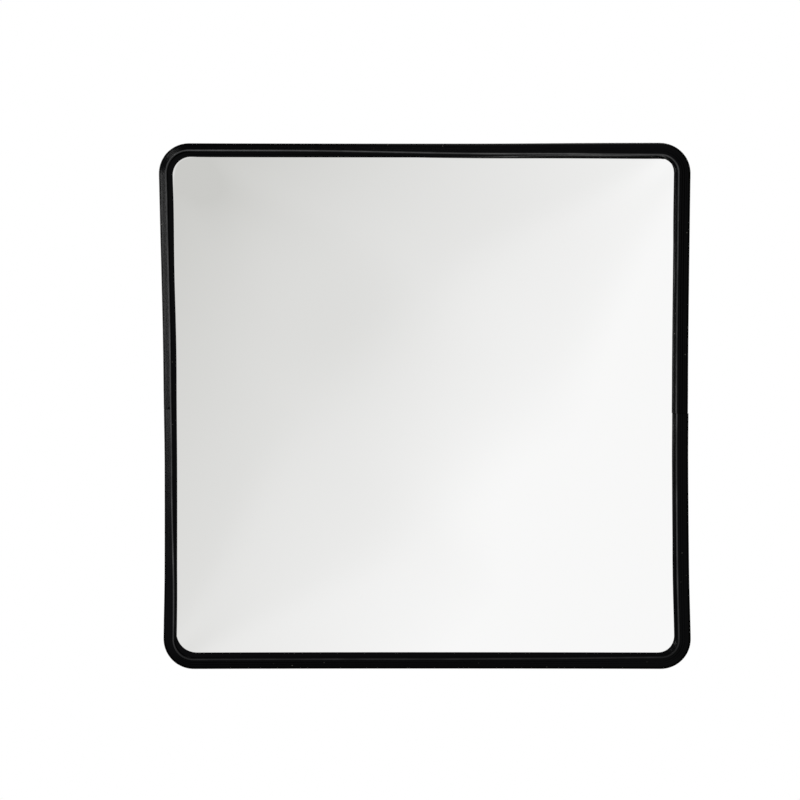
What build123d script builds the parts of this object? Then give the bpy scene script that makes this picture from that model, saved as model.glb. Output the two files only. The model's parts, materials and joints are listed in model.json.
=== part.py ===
from build123d import *
from build123d.topology import SkipClean
import math
import os

# Square convex security mirror on a swing arm with a ball joint.
#
# Every piece is drawn in mounting coordinates: x to the right and y up as seen by someone
# who looks into the mirror, z the distance out of the wall. WALL turns them into the part's
# own frame, whose origin is on the wall at the middle of the wall plate: +X right, +Z up and
# +Y into the wall. All sizes are in millimetres.
WALL = Plane.XZ

# ---------------------------------------------------------------- driving dimensions
# Mirror panel, seen from the front
HALF_WIDTH = 227.0  # middle to the trim's outer edge, at the corners
HALF_HEIGHT = 225.1
WAIST_SIDE = 2.2  # how far the left and right edges draw in at mid-height
WAIST_TOP = 0.4  # the same for the top and bottom edges
CORNER_R = 26.7  # outer edge of the trim

# Sandwich of lens rim and back panel, gripped by the trim
TRIM_WALL = 3.2  # rubber outside the panel's edge
TRIM_LIP = 11.0  # outer edge to the tip of each lip
PANEL_T = 3.2  # tempered hardboard
LENS_T = 3.0  # acrylic
DOME_INSET = 11.3  # outer edge to the foot of the dome
DOME_RISE = 42.0
DOME_CORNER_R = 18.0

# Distances out of the wall
PLATE_T = 3.0
PIVOT_Z = 36.0
TUBE_START_Z = 60.0
TUBE_END_Z = 140.0
BALL_Z = 182.0
PANEL_Z = 206.0  # back face of the back panel
RIM_Z = PANEL_Z + PANEL_T  # joint between back panel and lens rim
FACE_Z = RIM_Z + LENS_T  # front face of the lens rim

# Wall plate and yoke
PLATE_SIZE = 100.0
PLATE_HOLE_SPACING = 76.0
PLATE_HOLE_R = 3.25
YOKE_GAP = 26.0
YOKE_T = 4.0
YOKE_WIDTH = 36.0
YOKE_FOOT = 8.0  # height of the ears' square feet over the plate
YOKE_NOSE_R = 14.0
YOKE_BEND_R = 3.0  # inside of the folds

# Arm
TUBE_R = 12.5
TUBE_BORE_R = 10.5
EYE_R = 12.0
EYE_HEIGHT = 22.5
BUSH_R = 6.5
BUSH_FLANGE_R = 9.5
BUSH_FLANGE_T = 1.5
BOLT_R = 4.0
RUNNING = 0.05  # radial clearance of turning fits

# Ball joint
BALL_R = 15.0
NECK_R = 4.5
STEM_R = 6.0
SEAT_GAP = 0.12  # ball to seat
SEAT_T = 1.5
SOCKET_GAP = 0.2  # seat to socket
SOCKET_R = BALL_R + SEAT_GAP + SEAT_T + SOCKET_GAP
MOUTH_DEG = 55.0  # half angle of the socket's mouth, from the stem
SEAT_MOUTH_DEG = 50.0
BOSS_R = 32.0
CLAMP_GAP = 1.0
CAP_BACK_Z = 174.0
FLANGE_SIZE = 96.0
FLANGE_T = 5.0
RIB_T = 5.0
RIB_RISE = 12.0
STIFFENER_SIZE = 112.0
STIFFENER_T = 2.0

# Where the repeated fasteners sit, as quarter patterns about the ball's axis
PANEL_BOLT_OFFSET = 36.0
CLAMP_SCREW_OFFSET = 17.9


# ---------------------------------------------------------------- helpers
def quarter(offset):
    """The four places of a square pattern."""
    return [(x, y) for x in (-offset, offset) for y in (-offset, offset)]


def rod(radius, z_low, z_high, x=0.0, y=0.0):
    """A cylinder that runs out of the wall from z_low to z_high."""
    return Pos(x, y, (z_low + z_high) / 2) * Cylinder(radius, z_high - z_low)


def post(radius, y_low, y_high):
    """A cylinder upright on the pivot axis from y_low to y_high."""
    middle = (y_low + y_high) / 2
    return Pos(0, middle, PIVOT_Z) * Rot(90, 0, 0) * Cylinder(radius, y_high - y_low)


def hexagon(across_flats, z_low, z_high, x=0.0, y=0.0):
    """A six-sided prism that runs out of the wall."""
    outline = RegularPolygon(across_flats / 2, 6, major_radius=False)
    return Pos(x, y, z_low) * extrude(outline, z_high - z_low)


def upright_hexagon(across_flats, y_low, y_high):
    """A six-sided prism upright on the pivot axis."""
    outline = RegularPolygon(across_flats / 2, 6, major_radius=False)
    return Pos(0, y_high, PIVOT_Z) * Rot(90, 0, 0) * extrude(outline, y_high - y_low)


def plate(width, height, corner_r, z_low, z_high):
    """A flat plate with rounded corners, its faces square to the arm."""
    return Pos(0, 0, z_low) * extrude(RectangleRounded(width, height, corner_r), z_high - z_low)


def panel_outline(inset):
    """The panel's outline with its waisted sides, drawn in by inset, as a face. Its corners
    are concentric with the trim's."""
    x, y = HALF_WIDTH - inset, HALF_HEIGHT - inset
    corners = [(-x, -y), (x, -y), (x, y), (-x, y)]
    middles = [(0, WAIST_TOP - y), (x - WAIST_SIDE, 0), (0, y - WAIST_TOP), (WAIST_SIDE - x, 0)]
    ends = corners[1:] + corners[:1]
    edges = [ThreePointArc(a, m, b) for a, m, b in zip(corners, middles, ends)]
    sharp = make_face(Curve() + edges)
    return fillet(sharp.vertices(), CORNER_R - inset)


def panel_slab(inset, z_low, z_high):
    """A slab with the panel's outline, drawn in by inset."""
    return Pos(0, 0, z_low) * extrude(panel_outline(inset), z_high - z_low)


# ---------------------------------------------------------------- lens
def half_span(reach, other_reach, waist, along):
    """Half the dome's width where it is measured, along its waisted edge."""
    return reach - waist + waist * (along / other_reach) ** 2


def dome_height(x, y):
    """Height of the dome above its rim. Its level lines are circles at the crown and turn
    into the rounded outline at the foot: each is a superellipse whose power grows outwards,
    and the height falls with the square of the level."""
    x_reach, y_reach = HALF_WIDTH - DOME_INSET, HALF_HEIGHT - DOME_INSET
    u = abs(x) / half_span(x_reach, y_reach, WAIST_SIDE, y)
    v = abs(y) / half_span(y_reach, x_reach, WAIST_TOP, x)
    roundness = DOME_CORNER_R / x_reach * (1 - math.sqrt(0.5))
    foot_power = math.log(2) / -math.log(1 - roundness)
    low, high = 0.0, 2.0
    for _ in range(40):
        level = (low + high) / 2
        power = 2 + (foot_power - 2) * min(level, 1.0) ** 6
        norm = max(u, v) * (1 + (min(u, v) / max(u, v, 1e-9)) ** power) ** (1 / power)
        if norm < level:
            high = level
        else:
            low = level
    return DOME_RISE * (1 - level**2)


def dome_solid(z_rim, z_floor):
    """What lies under the dome whose foot is at z_rim, down to z_floor."""
    reach, steps = HALF_WIDTH + 2, 16
    grid = [reach * math.sin(math.pi / 2 * i / steps) for i in range(-steps, steps + 1)]
    points = [[(x, y, z_rim + dome_height(x, y)) for x in grid] for y in grid]
    skin = Face.make_surface_from_array_of_points(points, tol=0.02, min_deg=3, max_deg=3)
    side = 2 * (HALF_WIDTH - 4)
    block = Pos(0, 0, z_floor) * extrude(Rectangle(side, side), DOME_RISE + 20)
    pieces = block.split(skin, keep=Keep.ALL)
    return min(pieces.solids(), key=lambda s: s.center().Z)


def tile(xs, ys):
    """An upright block over one cell of the grid that splits the lens's faces."""
    centre = Pos((xs[0] + xs[1]) / 2, (ys[0] + ys[1]) / 2, FACE_Z)
    return centre * Box(xs[1] - xs[0], ys[1] - ys[0], 4 * DOME_RISE)


def mirror_lens():
    """Acrylic dome with the flat rim that the trim grips. Its faces stay split along the
    lines of a grid near the edges and through the middle, which keeps each one simple."""
    rim = panel_slab(TRIM_WALL, RIM_Z, FACE_Z)
    whole = rim + dome_solid(FACE_Z, RIM_Z) - dome_solid(RIM_Z, RIM_Z)
    split, edge = 180, HALF_WIDTH + 10
    spans = [(-edge, -split), (-split, 0), (0, split), (split, edge)]
    with SkipClean():
        tiles = [whole & tile(xs, ys) for xs in spans for ys in spans]
        return tiles[0].fuse(*tiles[1:])


# ---------------------------------------------------------------- panel and trim
def back_panel():
    """Hardboard back, bolted to the ball joint."""
    board = panel_slab(TRIM_WALL, PANEL_Z, RIM_Z)
    for x, y in quarter(PANEL_BOLT_OFFSET):
        board -= rod(3.2, PANEL_Z, RIM_Z, x, y)
    return board


def trim_section():
    """Section of the rubber trim before its groove is cut: a blunt wedge that rises from a
    round outer edge to a bead and falls to the tip of each lip. The first coordinate runs
    inwards from the outer edge, the second out of the wall."""
    front, back = FACE_Z + 3.5, PANEL_Z - 2.0
    middle, bead = PANEL_Z + PANEL_T, TRIM_LIP - 1.9
    edges = [
        ThreePointArc((bead, front), (3.4, FACE_Z + 1.1), (0, middle)),
        ThreePointArc((0, middle), (3.4, back + 0.9), (bead, back)),
        ThreePointArc((bead, back), (TRIM_LIP - 0.5, back + 0.7), (TRIM_LIP, PANEL_Z)),
        Line((TRIM_LIP, PANEL_Z), (TRIM_LIP, FACE_Z)),
        ThreePointArc((TRIM_LIP, FACE_Z), (TRIM_LIP - 0.6, FACE_Z + 2.2), (bead, front)),
    ]
    return make_face(Curve() + edges)


def edge_trim(side):
    """One half of the trim, above the seams with side 1 and below them with side -1."""
    seam_y, seam_gap = -3.0, 0.25
    path = panel_outline(0).wire()
    tangent = path % 0
    inward = Vector(0, 0, 1).cross(tangent)
    section_plane = Plane(origin=path @ 0, x_dir=inward, z_dir=inward.cross(Vector(0, 0, 1)))
    ring = sweep(section_plane * trim_section(), path=path)
    ring -= panel_slab(TRIM_WALL, PANEL_Z, FACE_Z)
    cut_y = seam_y + side * seam_gap / 2
    half = Pos(0, cut_y + side * HALF_HEIGHT, FACE_Z) * Box(3 * HALF_WIDTH, 2 * HALF_HEIGHT, 60)
    return ring & half


def stiffener_plate():
    """Steel plate inside the mirror that spreads the load of the bolts."""
    sheet = plate(STIFFENER_SIZE, STIFFENER_SIZE, 10, RIM_Z, RIM_Z + STIFFENER_T)
    for x, y in quarter(PANEL_BOLT_OFFSET):
        sheet -= rod(3.2, RIM_Z, RIM_Z + STIFFENER_T, x, y)
    return sheet


def panel_bolt(x, y):
    """M6 pan-head bolt, its head inside the mirror."""
    head_z = RIM_Z + STIFFENER_T
    head = rod(6.0, head_z, head_z + 3.6, x, y)
    head = fillet(head.edges().sort_by(Axis.Z)[-1:], 1.8)
    return head + rod(3.0, PANEL_Z - FLANGE_T - 9.5, head_z, x, y)


def panel_washer(x, y):
    """Plain M6 washer on the socket's flange."""
    top = PANEL_Z - FLANGE_T
    return rod(6.0, top - 1.2, top, x, y) - rod(3.2, top - 1.2, top, x, y)


def panel_nut(x, y):
    """M6 nut on its washer."""
    top = PANEL_Z - FLANGE_T - 1.2
    return hexagon(10.0, top - 5.2, top, x, y) - rod(3.0, top - 5.2, top, x, y)


# ---------------------------------------------------------------- ball joint
def ball_point(radius, degrees):
    """Point of a section through the ball joint: distance from the axis and out of the wall.
    The angle is measured from the stem."""
    angle = math.radians(degrees)
    return (radius * math.sin(angle), BALL_Z - radius * math.cos(angle))


def turned(edges):
    """A solid of revolution about the ball joint's axis, from its half section."""
    section = Plane.XZ * make_face(Curve() + edges)
    return revolve(section, Axis.Z, 360)


def arc_about_ball(radius, start_deg, end_deg):
    """Arc of a section, centred on the ball."""
    middle_deg = (start_deg + end_deg) / 2
    return ThreePointArc(*[ball_point(radius, a) for a in (start_deg, middle_deg, end_deg)])


def socket_rib(turn_deg):
    """Sloping rib from the boss to the edge of the flange."""
    foot_z, inner, outer = PANEL_Z - FLANGE_T, BOSS_R - 3, FLANGE_SIZE / 2 - 2
    corners = [(inner, foot_z + 1), (inner, foot_z - RIB_RISE), (outer, foot_z), (outer, foot_z + 1)]
    side = extrude(Plane.XZ * make_face(Polyline(*corners, close=True)), RIB_T / 2, both=True)
    return Rot(0, 0, turn_deg) * side


def socket_base():
    """Cast socket bolted to the back panel: square flange, round boss, four ribs, spherical
    cup."""
    parting = BALL_Z + CLAMP_GAP / 2
    boss = rod(BOSS_R, parting, PANEL_Z - 1)
    boss = fillet(boss.edges().sort_by(Axis.Z)[:1], 1.2)
    flange = plate(FLANGE_SIZE, FLANGE_SIZE, 12, PANEL_Z - FLANGE_T, PANEL_Z)
    body = boss + flange
    root = body.edges().filter_by(GeomType.CIRCLE).filter_by(lambda e: abs(e.radius - BOSS_R) < 0.01)
    root = root.filter_by(lambda e: abs(e.center().Z - (PANEL_Z - FLANGE_T)) < 0.01)
    body = fillet(root, 3.0)
    for turn_deg in (0, 90, 180, 270):
        body += socket_rib(turn_deg)
    body -= Pos(0, 0, BALL_Z) * Sphere(SOCKET_R)
    for x, y in quarter(PANEL_BOLT_OFFSET):
        body -= rod(3.2, PANEL_Z - FLANGE_T, PANEL_Z, x, y)
    for x, y in quarter(CLAMP_SCREW_OFFSET):
        body -= rod(2.5, parting, parting + 14, x, y)
    return body


def clamp_cap():
    """Ring that holds the ball in its socket, domed round its mouth."""
    outer_r, parting = SOCKET_R + 3.6, BALL_Z - CLAMP_GAP / 2
    edge_deg = math.degrees(math.asin((BALL_Z - parting) / SOCKET_R))
    shoulder_deg = math.degrees(math.acos((BALL_Z - CAP_BACK_Z) / outer_r))
    mouth_in, mouth_out = ball_point(SOCKET_R, MOUTH_DEG), ball_point(outer_r, MOUTH_DEG)
    shoulder = ball_point(outer_r, shoulder_deg)
    rim_in = ball_point(SOCKET_R, 90 - edge_deg)
    edges = [
        Line(mouth_in, mouth_out),
        arc_about_ball(outer_r, MOUTH_DEG, shoulder_deg),
        Line(shoulder, (BOSS_R - 2, CAP_BACK_Z)),
        ThreePointArc(
            (BOSS_R - 2, CAP_BACK_Z), (BOSS_R - 0.586, CAP_BACK_Z + 0.586), (BOSS_R, CAP_BACK_Z + 2)
        ),
        Line((BOSS_R, CAP_BACK_Z + 2), (BOSS_R, parting)),
        Line((BOSS_R, parting), rim_in),
        arc_about_ball(SOCKET_R, 90 - edge_deg, MOUTH_DEG),
    ]
    cap = turned(edges)
    for x, y in quarter(CLAMP_SCREW_OFFSET):
        cap -= rod(2.75, CAP_BACK_Z - 6, parting + 1, x, y)
        cap -= rod(4.9, CAP_BACK_Z - 8, CAP_BACK_Z, x, y)
    return cap


def clamp_screw(x, y):
    """M5 socket-head screw with its hexagon socket."""
    seat = CAP_BACK_Z - 1.2
    head = rod(4.25, seat - 5, seat, x, y)
    head = fillet(head.edges().sort_by(Axis.Z)[:1], 0.5)
    return head + rod(2.5, seat, BALL_Z + 12, x, y) - hexagon(4.0, seat - 5, seat - 2.4, x, y)


def clamp_washer(x, y):
    """Spring washer under a clamp screw, split on one side."""
    low = CAP_BACK_Z - 1.2
    ring = rod(4.4, low, CAP_BACK_Z, x, y) - rod(2.6, low, CAP_BACK_Z, x, y)
    return ring - Pos(x + 3.5, y, low + 0.6) * Rot(20, 0, 0) * Box(3, 0.7, 3)


def seat_ring():
    """Nylon half of the ball's seat, under the clamp cap."""
    inner, outer = BALL_R + SEAT_GAP, BALL_R + SEAT_GAP + SEAT_T
    edge_deg = 87.0
    return turned([
        Line(ball_point(inner, SEAT_MOUTH_DEG), ball_point(outer, SEAT_MOUTH_DEG)),
        arc_about_ball(outer, SEAT_MOUTH_DEG, edge_deg),
        Line(ball_point(outer, edge_deg), ball_point(inner, edge_deg)),
        arc_about_ball(inner, edge_deg, SEAT_MOUTH_DEG),
    ])


def seat_cup():
    """Nylon half of the ball's seat, in the socket, with a drain hole at its pole."""
    inner, outer = BALL_R + SEAT_GAP, BALL_R + SEAT_GAP + SEAT_T
    edge_deg, pole_deg = 93.0, 170.0
    return turned([
        Line(ball_point(inner, edge_deg), ball_point(outer, edge_deg)),
        arc_about_ball(outer, edge_deg, pole_deg),
        Line(ball_point(outer, pole_deg), ball_point(inner, pole_deg)),
        arc_about_ball(inner, pole_deg, edge_deg),
    ])


def ball_stud():
    """Steel ball on its threaded stem, which screws into the arm."""
    tip, shoulder, neck = TUBE_END_Z - 18, BALL_Z - 24, BALL_Z - 21
    stem = rod(STEM_R, tip, shoulder)
    stem = chamfer(stem.edges().sort_by(Axis.Z)[:1], 1.0)
    taper = Pos(0, 0, (shoulder + neck) / 2) * Cone(STEM_R, NECK_R, neck - shoulder)
    return stem + taper + rod(NECK_R, neck, BALL_Z - 5) + Pos(0, 0, BALL_Z) * Sphere(BALL_R)


# ---------------------------------------------------------------- arm
def arm_tube():
    """Steel tube between knuckle and ball stud."""
    return rod(TUBE_R, TUBE_START_Z, TUBE_END_Z) - rod(TUBE_BORE_R, TUBE_START_Z, TUBE_END_Z)


def arm_end_plug():
    """Tapped plug welded into the tube's front end."""
    shoulder = rod(TUBE_R, TUBE_END_Z, TUBE_END_Z + 6)
    shoulder = chamfer(shoulder.edges().sort_by(Axis.Z)[-1:], 1.5)
    body = shoulder + rod(TUBE_BORE_R, TUBE_END_Z - 16, TUBE_END_Z)
    return body - rod(STEM_R + RUNNING, TUBE_END_Z - 16, TUBE_END_Z + 6)


def stem_spring_washer():
    """Split spring washer between the plug and the lock nut."""
    low = TUBE_END_Z + 6
    ring = rod(10.2, low, low + 2.4) - rod(STEM_R, low, low + 2.4)
    return ring - Pos(0, 8.2, low + 1.2) * Rot(0, 20, 0) * Box(0.9, 5, 5)


def stem_lock_nut():
    """M12 nut that locks the ball stud in the arm."""
    low = TUBE_END_Z + 8.4
    return hexagon(18.0, low, low + 7) - rod(STEM_R, low, low + 7)


def arm_knuckle():
    """Forged eye that turns on the pivot bolt, with a spigot welded into the tube."""
    eye = post(EYE_R, -EYE_HEIGHT / 2, EYE_HEIGHT / 2)
    web = Pos(0, 0, (PIVOT_Z + TUBE_START_Z) / 2) * Box(15, 18, TUBE_START_Z - PIVOT_Z)
    web = fillet(web.edges().filter_by(Axis.Z), 4.0)
    shoulder = rod(TUBE_R, TUBE_START_Z - 5, TUBE_START_Z)
    spigot = rod(TUBE_BORE_R, TUBE_START_Z, TUBE_START_Z + 16)
    return eye + web + shoulder + spigot - post(BUSH_R, -EYE_HEIGHT, EYE_HEIGHT)


def pivot_bush(side):
    """Flanged nylon bush, in the top of the eye with side 1 and the bottom with side -1."""
    face, depth = side * EYE_HEIGHT / 2, 9.0
    ends = sorted((face, face + side * BUSH_FLANGE_T))
    barrel_ends = sorted((face, face - side * depth))
    bush = post(BUSH_FLANGE_R, *ends) + post(BUSH_R, *barrel_ends)
    return bush - post(BOLT_R + RUNNING, -EYE_HEIGHT, EYE_HEIGHT)


# ---------------------------------------------------------------- wall bracket
def wall_plate():
    """Steel plate screwed to the wall at its four corners."""
    sheet = plate(PLATE_SIZE, PLATE_SIZE, 12, 0, PLATE_T)
    sheet = chamfer(sheet.faces().sort_by(Axis.Z)[-1].edges(), 0.6)
    for x, y in quarter(PLATE_HOLE_SPACING / 2):
        sheet -= rod(PLATE_HOLE_R, 0, PLATE_T, x, y)
    return sheet


def ear_outline():
    """An ear of the yoke seen from above, from the plate's face: a square foot, two straight
    sides that touch the round nose, and the nose."""
    reach, half = PIVOT_Z - PLATE_T, YOKE_WIDTH / 2
    drop = reach - YOKE_FOOT
    lean = math.acos(YOKE_NOSE_R / math.hypot(half, drop)) - math.atan2(drop, half)
    touch_x, touch_y = YOKE_NOSE_R * math.cos(lean), reach + YOKE_NOSE_R * math.sin(lean)
    right = [(half, 0), (half, YOKE_FOOT), (touch_x, touch_y)]
    left = [(-x, y) for x, y in reversed(right)]
    return make_face(Polyline(*right, *left, close=True)) + Pos(0, reach) * Circle(YOKE_NOSE_R)


def wall_yoke():
    """Folded strip welded to the wall plate: a web and two round-nosed ears."""
    total = YOKE_GAP + 2 * YOKE_T
    # The ears' outline stands in the x-z plane and is swept down through the whole yoke
    upright = Plane(origin=(0, total / 2, PLATE_T), x_dir=(1, 0, 0), z_dir=(0, -1, 0))
    solid = extrude(upright * ear_outline(), total)
    solid = fillet(solid.edges().filter_by(Axis.X).sort_by(Axis.Z)[:2], YOKE_BEND_R + YOKE_T)
    depth = PIVOT_Z + YOKE_NOSE_R - PLATE_T - YOKE_T
    gap = Pos(0, 0, PLATE_T + YOKE_T + depth / 2) * Box(2 * YOKE_WIDTH, YOKE_GAP, depth)
    gap = fillet(gap.edges().filter_by(Axis.X).sort_by(Axis.Z)[:2], YOKE_BEND_R)
    return solid - gap - post(BOLT_R + 0.2, -total, total)


def pivot_bolt():
    """M8 hexagon bolt through yoke and knuckle, its head on top."""
    seat = YOKE_GAP / 2 + YOKE_T + 1.6
    return upright_hexagon(13.0, seat, seat + 5.3) + post(BOLT_R, -seat - 11, seat)


def pivot_washer(side):
    """Plain M8 washer outside one ear."""
    inner = YOKE_GAP / 2 + YOKE_T
    ends = sorted((side * inner, side * (inner + 1.6)))
    return post(8.0, *ends) - post(BOLT_R + 0.2, -30, 30)


def pivot_nut():
    """M8 nut with a nylon locking collar, under the lower ear."""
    seat = -(YOKE_GAP / 2 + YOKE_T + 1.6)
    nut = upright_hexagon(13.0, seat - 6.5, seat) + post(5.6, seat - 8.5, seat - 6.5)
    return nut - post(BOLT_R, -40, 40)


# ---------------------------------------------------------------- export
def pieces():
    """Every node by name, with its solid or group of solids."""
    quarters, clamps = quarter(PANEL_BOLT_OFFSET), quarter(CLAMP_SCREW_OFFSET)
    return {
        "wall_plate": [wall_plate()],
        "wall_yoke": [wall_yoke()],
        "pivot_bolt": [pivot_bolt()],
        "pivot_washers": [pivot_washer(side) for side in (1, -1)],
        "pivot_nut": [pivot_nut()],
        "arm_knuckle": [arm_knuckle()],
        "pivot_bushes": [pivot_bush(side) for side in (1, -1)],
        "arm_tube": [arm_tube()],
        "arm_end_plug": [arm_end_plug()],
        "ball_stud": [ball_stud()],
        "stem_lock_nut": [stem_lock_nut()],
        "stem_spring_washer": [stem_spring_washer()],
        "seat_ring": [seat_ring()],
        "seat_cup": [seat_cup()],
        "clamp_cap": [clamp_cap()],
        "clamp_screws": [clamp_screw(x, y) for x, y in clamps],
        "clamp_washers": [clamp_washer(x, y) for x, y in clamps],
        "socket_base": [socket_base()],
        "panel_nuts": [panel_nut(x, y) for x, y in quarters],
        "panel_washers": [panel_washer(x, y) for x, y in quarters],
        "panel_bolts": [panel_bolt(x, y) for x, y in quarters],
        "stiffener_plate": [stiffener_plate()],
        "back_panel": [back_panel()],
        "mirror_lens": [mirror_lens()],
        "edge_trim_upper": [edge_trim(1)],
        "edge_trim_lower": [edge_trim(-1)],
    }


def solids_of(shapes):
    """The bare solids of a list of shapes, in the part's own frame."""
    return [WALL * solid for shape in shapes for solid in shape.solids()]


os.makedirs("parts", exist_ok=True)
for node, shapes in pieces().items():
    found = solids_of(shapes)
    export_step(found[0] if len(found) == 1 else Compound(children=found), f"parts/{node}.step")
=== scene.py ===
import json
import logging
import math
from dataclasses import dataclass, field
from enum import Enum
from typing import Any

import bmesh
import bpy
import numpy as np
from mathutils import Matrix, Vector

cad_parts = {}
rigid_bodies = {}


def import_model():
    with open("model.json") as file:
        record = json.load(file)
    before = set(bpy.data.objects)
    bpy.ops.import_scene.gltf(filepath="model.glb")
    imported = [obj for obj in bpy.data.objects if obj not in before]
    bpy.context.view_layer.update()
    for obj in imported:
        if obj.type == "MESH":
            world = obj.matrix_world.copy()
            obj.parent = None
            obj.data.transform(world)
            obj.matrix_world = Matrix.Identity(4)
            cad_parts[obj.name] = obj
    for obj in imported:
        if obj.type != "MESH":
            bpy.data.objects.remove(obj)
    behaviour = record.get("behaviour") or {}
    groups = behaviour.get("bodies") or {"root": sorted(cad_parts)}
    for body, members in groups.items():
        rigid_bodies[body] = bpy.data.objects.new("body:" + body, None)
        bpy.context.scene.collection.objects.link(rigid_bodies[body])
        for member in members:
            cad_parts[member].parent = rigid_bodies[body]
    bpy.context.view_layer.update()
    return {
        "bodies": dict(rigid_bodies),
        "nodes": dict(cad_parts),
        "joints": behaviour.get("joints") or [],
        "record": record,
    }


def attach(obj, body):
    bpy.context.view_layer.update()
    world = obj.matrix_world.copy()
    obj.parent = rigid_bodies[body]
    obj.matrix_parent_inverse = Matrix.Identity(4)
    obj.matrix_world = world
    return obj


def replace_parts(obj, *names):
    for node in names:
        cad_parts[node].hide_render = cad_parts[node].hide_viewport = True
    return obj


# Square convex security mirror on a swing arm with a ball joint.
#
# Shapes are worked out in mounting coordinates, in millimetres: x to the right and y up for
# someone who looks into the mirror, z the distance out of the wall. Shell.to_object turns them
# into the frame, where +Y runs into the wall and +Z is up, in metres.

LOG = logging.getLogger("mirror")
MM = 0.001


# ------------------------------------------------------------------ names
class Body(Enum):
    """The rigid bodies of the frame."""

    BRACKET = "wall_bracket"
    ARM = "swing_arm"
    STEM = "ball_stem"
    SEAT = "ball_seat"
    HEAD = "mirror_head"


class Half(Enum):
    """The two lengths of edging, named for the side of the seams they are on."""

    UPPER = 1
    LOWER = -1


# ------------------------------------------------------------------ nodes and colours
def srgb(code: str) -> tuple[float, float, float, float]:
    """Turns an sRGB hex colour into the linear one that a shader takes.

    Args:
        code: six hex digits after a hash sign.

    Returns:
        Linear red, green, blue and an alpha of 1.
    """
    channels = [int(code[i:i + 2], 16) / 255 for i in (1, 3, 5)]
    linear = [c / 12.92 if c <= 0.04045 else ((c + 0.055) / 1.055) ** 2.4 for c in channels]
    return (linear[0], linear[1], linear[2], 1.0)


def add_node(
    tree: bpy.types.NodeTree,
    kind: str,
    settings: dict[Any, Any] | None = None,
    links: dict[Any, bpy.types.NodeSocket] | None = None,
    ramp: list[tuple[float, tuple[float, ...]]] | None = None,
) -> bpy.types.Node:
    """Adds one node with its settings and links.

    Args:
        tree: the node tree.
        kind: the node's Blender type.
        settings: values by input name or number, or by property name.
        links: the sockets to link, by input name or number.
        ramp: the stops of a Color Ramp node, each a position and a colour.

    Returns:
        The new node.
    """
    made = tree.nodes.new(kind)
    for key, value in (settings or {}).items():
        if isinstance(key, int) or key in made.inputs:
            made.inputs[key].default_value = value
        else:
            setattr(made, key, value)
    for key, socket in (links or {}).items():
        tree.links.new(socket, made.inputs[key])
    if ramp:
        stops = made.color_ramp.elements
        while len(stops) < len(ramp):
            stops.new(0.5)
        for stop, (position, colour) in zip(stops, ramp):
            stop.position, stop.color = position, colour
    return made


def new_material(name: str) -> tuple[bpy.types.Material, bpy.types.NodeTree, bpy.types.Node]:
    """Starts a material with a Principled shader joined to its output.

    Args:
        name: the material's name.

    Returns:
        The material, its node tree and its Principled shader.
    """
    material = bpy.data.materials.new(name)
    material.use_nodes = True
    tree = material.node_tree
    tree.nodes.clear()
    shader = add_node(tree, "ShaderNodeBsdfPrincipled")
    add_node(tree, "ShaderNodeOutputMaterial", links={"Surface": shader.outputs["BSDF"]})
    return material, tree, shader


def grey(value: float) -> tuple[float, float, float, float]:
    """A linear grey."""
    return (value, value, value, 1.0)


# ------------------------------------------------------------------ finishes
@dataclass(frozen=True)
class SilveredAcrylic:
    """Acrylic sheet, free-blown to a dome and vacuum-metallised on its back face. A sharp,
    faintly warm reflection under a thin clear skin."""

    slot: str = "mirror_acrylic"
    silver: str = "#f4f4f3"
    roughness: float = 0.012
    acrylic_ior: float = 1.49

    def build(self) -> bpy.types.Material:
        """Makes the material."""
        material, tree, shader = new_material("vacuum_metallised_acrylic")
        shader.inputs["Base Color"].default_value = srgb(self.silver)
        shader.inputs["Metallic"].default_value = 1.0
        shader.inputs["Roughness"].default_value = self.roughness
        shader.inputs["Coat Weight"].default_value = 1.0
        shader.inputs["Coat Roughness"].default_value = 0.01
        shader.inputs["Coat IOR"].default_value = self.acrylic_ior
        return material


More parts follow.
